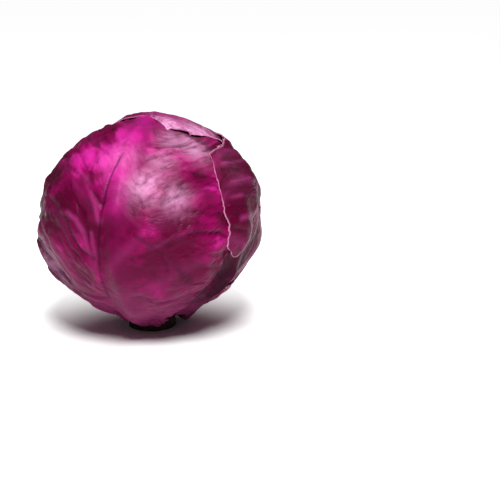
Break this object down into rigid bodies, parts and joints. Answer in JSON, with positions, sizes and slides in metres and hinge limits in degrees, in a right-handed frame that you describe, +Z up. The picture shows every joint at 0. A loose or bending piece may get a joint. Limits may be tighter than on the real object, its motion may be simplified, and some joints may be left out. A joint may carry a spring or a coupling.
{
  "type": "red cabbage head",
  "caption": "Whole head of red cabbage resting on its short cut stump, wrapped in broad veined leaves laid over one another",
  "frame": {"origin": "middle of the stump's flat cut face, which stands on the table", "axes": "+Z up along the head's stem, -Y the front, where the biggest wrapper leaf shows its midrib"},
  "size_m": [0.1596, 0.161, 0.1551],
  "materials": {
    "inner_skin": "waxy deep red-purple leaf, semi-matt",
    "stump_flesh": "dry cut stem, pale, matt",
    "leaf_skin": "waxy magenta leaf with pale ribs and a faint bloom, satin"
  },
  "bodies": {
    "root": {"heart": "inner_skin", "stump": "stump_flesh", "leaf_lower_back": "leaf_skin", "leaf_left": "leaf_skin", "leaf_lower_right": "leaf_skin", "leaf_front": "leaf_skin", "leaf_back": "leaf_skin", "leaf_right": "leaf_skin"}
  },
  "joints": []
}
